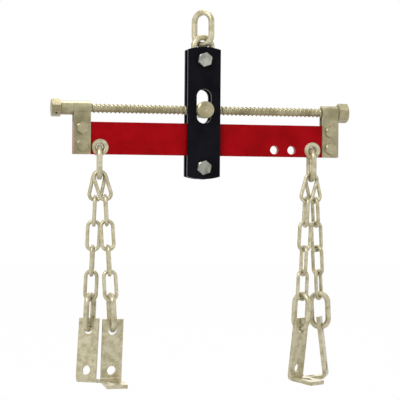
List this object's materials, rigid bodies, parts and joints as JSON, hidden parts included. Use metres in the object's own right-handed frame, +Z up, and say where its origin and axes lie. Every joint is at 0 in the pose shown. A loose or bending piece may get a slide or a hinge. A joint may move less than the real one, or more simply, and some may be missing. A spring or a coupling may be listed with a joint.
{
  "type": "load leveller",
  "caption": "Adjustable spreader beam: a flat bar that a screw moves through a hanging carriage, with chains and angle brackets at its ends.",
  "frame": {"origin": "the hook's seat: the inside top of the upper lifting link", "axes": "+X along the beam away from the drive head, -Y to the front, +Z up"},
  "size_m": [0.4544, 0.1006, 0.5624],
  "materials": {
    "zinc_pale": "pale yellow zinc plating",
    "zinc_yellow": "yellow zinc plating",
    "steel": "plain machined steel",
    "black_paint": "glossy black paint",
    "zinc_grey": "pale zinc plating with a green tint",
    "red_paint": "glossy red paint"
  },
  "bodies": {
    "hook_link": {"upper_lifting_link": "zinc_pale"},
    "lower_link": {"lower_lifting_link": "zinc_pale"},
    "carriage": {"front_plate": "black_paint", "back_plate": "black_paint", "top_bolt": "zinc_grey", "top_nut": "zinc_grey", "top_spacer": "steel", "lower_bolt": "zinc_grey", "lower_nut": "zinc_grey", "roller_sleeve": "steel"},
    "roller": {"beam_roller": "steel"},
    "trunnion": {"trunnion_nut": "zinc_yellow"},
    "beam": {"beam": "red_paint", "left_hole_bush": "zinc_pale", "right_hole_bush": "zinc_pale", "left_strap": "zinc_yellow", "right_strap": "zinc_yellow", "strap_bolts": "zinc_yellow", "strap_nuts": "zinc_yellow"},
    "screw": {"screw": "zinc_yellow", "drive_head": "zinc_yellow", "drive_head_pin": "steel", "spacer_sleeve": "zinc_yellow", "end_nut": "zinc_yellow"},
    "left_beam_link": {"left_beam_link": "zinc_pale"},
    "right_beam_link": {"right_beam_link": "zinc_pale"},
    "left_outer_link_1": {"left_outer_link_1": "zinc_pale"},
    "left_outer_link_2": {"left_outer_link_2": "zinc_pale"},
    "left_outer_link_3": {"left_outer_link_3": "zinc_pale"},
    "left_outer_link_4": {"left_outer_link_4": "zinc_pale"},
    "left_outer_link_5": {"left_outer_link_5": "zinc_pale"},
    "left_outer_end_link": {"left_outer_end_link": "zinc_pale"},
    "left_outer_bracket": {"left_outer_bracket": "zinc_pale"},
    "left_inner_link_1": {"left_inner_link_1": "zinc_pale"},
    "left_inner_link_2": {"left_inner_link_2": "zinc_pale"},
    "left_inner_link_3": {"left_inner_link_3": "zinc_pale"},
    "left_inner_link_4": {"left_inner_link_4": "zinc_pale"},
    "left_inner_link_5": {"left_inner_link_5": "zinc_pale"},
    "left_inner_end_link": {"left_inner_end_link": "zinc_pale"},
    "left_inner_bracket": {"left_inner_bracket": "zinc_pale"},
    "right_inner_link_1": {"right_inner_link_1": "zinc_pale"},
    "right_inner_link_2": {"right_inner_link_2": "zinc_pale"},
    "right_inner_link_3": {"right_inner_link_3": "zinc_pale"},
    "right_inner_link_4": {"right_inner_link_4": "zinc_pale"},
    "right_inner_link_5": {"right_inner_link_5": "zinc_pale"},
    "right_inner_end_link": {"right_inner_end_link": "zinc_pale"},
    "right_inner_bracket": {"right_inner_bracket": "zinc_pale"},
    "right_outer_link_1": {"right_outer_link_1": "zinc_pale"},
    "right_outer_link_2": {"right_outer_link_2": "zinc_pale"},
    "right_outer_link_3": {"right_outer_link_3": "zinc_pale"},
    "right_outer_link_4": {"right_outer_link_4": "zinc_pale"},
    "right_outer_link_5": {"right_outer_link_5": "zinc_pale"},
    "right_outer_end_link": {"right_outer_end_link": "zinc_pale"},
    "right_outer_bracket": {"right_outer_bracket": "zinc_pale"}
  },
  "joints": [
    {"name": "link_swing", "type": "hinge", "parent": "hook_link", "child": "lower_link", "pos_m": [0, 0, -0.03845], "axis": [0.9636, -0.2672, 0], "range_deg": [-15, 15]},
    {"name": "carriage_swing", "type": "hinge", "parent": "lower_link", "child": "carriage", "pos_m": [0, 0, -0.0676], "axis": [0, 1, 0], "range_deg": [-20, 20]},
    {"name": "roller_spin", "type": "hinge", "parent": "carriage", "child": "roller", "pos_m": [0, 0, -0.2286], "axis": [0, 1, 0], "continuous": true},
    {"name": "beam_tilt", "type": "hinge", "parent": "carriage", "child": "trunnion", "pos_m": [0, 0, -0.1426], "axis": [0, 1, 0], "range_deg": [-3.5, 3.5]},
    {"name": "beam_travel", "type": "slide", "parent": "trunnion", "child": "beam", "axis": [1, 0, 0], "range_m": [-0.13, 0.11]},
    {"name": "screw_spin", "type": "hinge", "parent": "beam", "child": "screw", "pos_m": [0.008, 0, -0.1426], "axis": [1, 0, 0], "continuous": true},
    {"name": "left_chain_swing", "type": "hinge", "parent": "beam", "child": "left_beam_link", "pos_m": [-0.155, 0, -0.2003], "axis": [0, 1, 0], "range_deg": [-25, 30]},
    {"name": "right_chain_swing", "type": "hinge", "parent": "beam", "child": "right_beam_link", "pos_m": [0.171, 0, -0.2003], "axis": [0, 1, 0], "range_deg": [-30, 30]},
    {"name": "left_outer_swing_1", "type": "hinge", "parent": "left_beam_link", "child": "left_outer_link_1", "pos_m": [-0.15458, 0.00302, -0.24208], "axis": [0.1392, 0.9903, 0], "range_deg": [0, 25]},
    {"name": "left_outer_swing_2", "type": "hinge", "parent": "left_outer_link_1", "child": "left_outer_link_2", "pos_m": [-0.16065, 0.00384, -0.27838], "axis": [0.9686, -0.1361, -0.2079], "range_deg": [0, 30]},
    {"name": "left_outer_swing_3", "type": "hinge", "parent": "left_outer_link_2", "child": "left_outer_link_3", "pos_m": [-0.16182, 0.00578, -0.31542], "axis": [0.1736, 0.9837, 0.0461], "range_deg": [0, 30]},
    {"name": "left_outer_swing_4", "type": "hinge", "parent": "left_outer_link_3", "child": "left_outer_link_4", "pos_m": [-0.16298, 0.00772, -0.35245], "axis": [0.9898, -0.1374, -0.0383], "range_deg": [-5, 30]},
    {"name": "left_outer_swing_5", "type": "hinge", "parent": "left_outer_link_4", "child": "left_outer_link_5", "pos_m": [-0.16415, 0.00966, -0.38948], "axis": [0.2755, 0.9604, 0.0417], "range_deg": [0, 30]},
    {"name": "left_outer_end_swing", "type": "hinge", "parent": "left_outer_link_5", "child": "left_outer_end_link", "pos_m": [-0.16531, 0.0116, -0.42651], "axis": [0.8825, -0.4674, -0.0523], "range_deg": [-30, 30]},
    {"name": "left_outer_bracket_swing", "type": "hinge", "parent": "left_outer_end_link", "child": "left_outer_bracket", "pos_m": [-0.16668, 0.01388, -0.47003], "axis": [0.5297, 0.8478, 0.0278], "range_deg": [-5, 30]},
    {"name": "left_inner_swing_1", "type": "hinge", "parent": "left_beam_link", "child": "left_inner_link_1", "pos_m": [-0.15542, -0.00302, -0.24208], "axis": [0.1392, 0.9903, 0], "range_deg": [-15, 0]},
    {"name": "left_inner_swing_2", "type": "hinge", "parent": "left_inner_link_1", "child": "left_inner_link_2", "pos_m": [-0.14632, -0.00423, -0.27761], "axis": [-0.9418, 0.1324, -0.309], "range_deg": [0, 30]},
    {"name": "left_inner_swing_3", "type": "hinge", "parent": "left_inner_link_2", "child": "left_inner_link_3", "pos_m": [-0.14424, -0.00617, -0.3146], "axis": [0.1044, 0.9935, -0.0462], "range_deg": [-25, 0]},
    {"name": "left_inner_swing_4", "type": "hinge", "parent": "left_inner_link_3", "child": "left_inner_link_4", "pos_m": [-0.14217, -0.00811, -0.3516], "axis": [-0.996, 0.0667, -0.0593], "range_deg": [0, 30]},
    {"name": "left_inner_swing_5", "type": "hinge", "parent": "left_inner_link_4", "child": "left_inner_link_5", "pos_m": [-0.1401, -0.01005, -0.38859], "axis": [0.0696, 0.9964, -0.0483], "range_deg": [-30, 0]},
    {"name": "left_inner_end_swing", "type": "hinge", "parent": "left_inner_link_5", "child": "left_inner_end_link", "pos_m": [-0.13803, -0.01199, -0.42558], "axis": [-0.9978, 0.0319, -0.0575], "range_deg": [-5, 30]},
    {"name": "left_inner_bracket_swing", "type": "hinge", "parent": "left_inner_end_link", "child": "left_inner_bracket", "pos_m": [-0.1356, -0.01426, -0.46905], "axis": [-0.0696, 0.996, -0.0561], "range_deg": [-25, 30]},
    {"name": "right_inner_swing_1", "type": "hinge", "parent": "right_beam_link", "child": "right_inner_link_1", "pos_m": [0.171, -0.00305, -0.24208], "axis": [0, 1, 0], "range_deg": [0, 20]},
    {"name": "right_inner_swing_2", "type": "hinge", "parent": "right_inner_link_1", "child": "right_inner_link_2", "pos_m": [0.16275, -0.00305, -0.2779], "axis": [-0.9613, 0, 0.2756], "range_deg": [0, 30]},
    {"name": "right_inner_swing_3", "type": "hinge", "parent": "right_inner_link_2", "child": "right_inner_link_3", "pos_m": [0.16068, -0.00499, -0.31489], "axis": [-0.0348, 0.9981, -0.0504], "range_deg": [0, 30]},
    {"name": "right_inner_swing_4", "type": "hinge", "parent": "right_inner_link_3", "child": "right_inner_link_4", "pos_m": [0.1586, -0.00693, -0.35188], "axis": [-0.993, -0.1015, 0.0609], "range_deg": [0, 30]},
    {"name": "right_inner_swing_5", "type": "hinge", "parent": "right_inner_link_4", "child": "right_inner_link_5", "pos_m": [0.15653, -0.00887, -0.38887], "axis": [-0.139, 0.9893, -0.0441], "range_deg": [0, 30]},
    {"name": "right_inner_end_swing", "type": "hinge", "parent": "right_inner_link_5", "child": "right_inner_end_link", "pos_m": [0.15446, -0.0108, -0.42587], "axis": [-0.9121, -0.4035, 0.0722], "range_deg": [-5, 30]},
    {"name": "right_inner_bracket_swing", "type": "hinge", "parent": "right_inner_end_link", "child": "right_inner_bracket", "pos_m": [0.15203, -0.01308, -0.46934], "axis": [-0.5869, 0.8096, -0.0096], "range_deg": [-5, 30]},
    {"name": "right_outer_swing_1", "type": "hinge", "parent": "right_beam_link", "child": "right_outer_link_1", "pos_m": [0.171, 0.00305, -0.24208], "axis": [0, 1, 0], "range_deg": [-20, 0]},
    {"name": "right_outer_swing_2", "type": "hinge", "parent": "right_outer_link_1", "child": "right_outer_link_2", "pos_m": [0.17795, 0.00305, -0.27826], "axis": [0.9744, 0, 0.225], "range_deg": [0, 30]},
    {"name": "right_outer_swing_3", "type": "hinge", "parent": "right_outer_link_2", "child": "right_outer_link_3", "pos_m": [0.18054, 0.00499, -0.31522], "axis": [-0.1732, 0.9841, 0.0394], "range_deg": [-30, 0]},
    {"name": "right_outer_swing_4", "type": "hinge", "parent": "right_outer_link_3", "child": "right_outer_link_4", "pos_m": [0.18312, 0.00692, -0.35218], "axis": [0.9249, 0.3707, 0.0842], "range_deg": [0, 30]},
    {"name": "right_outer_swing_5", "type": "hinge", "parent": "right_outer_link_4", "child": "right_outer_link_5", "pos_m": [0.18571, 0.00886, -0.38914], "axis": [-0.5578, 0.8299, 0.0044], "range_deg": [-30, 0]},
    {"name": "right_outer_end_swing", "type": "hinge", "parent": "right_outer_link_5", "child": "right_outer_end_link", "pos_m": [0.1883, 0.0108, -0.4261], "axis": [0.6412, 0.7626, 0.0849], "range_deg": [-30, 30]},
    {"name": "right_outer_bracket_swing", "type": "hinge", "parent": "right_outer_end_link", "child": "right_outer_bracket", "pos_m": [0.19134, 0.01307, -0.46953], "axis": [0.9113, -0.4095, 0.0424], "range_deg": [0, 30]}
  ],
  "couplings": [
    {"joint": "screw_spin", "follows": "beam_travel", "rad_per_m": 989.48},
    {"joint": "roller_spin", "follows": "beam_travel", "rad_per_m": -56.497}
  ]
}
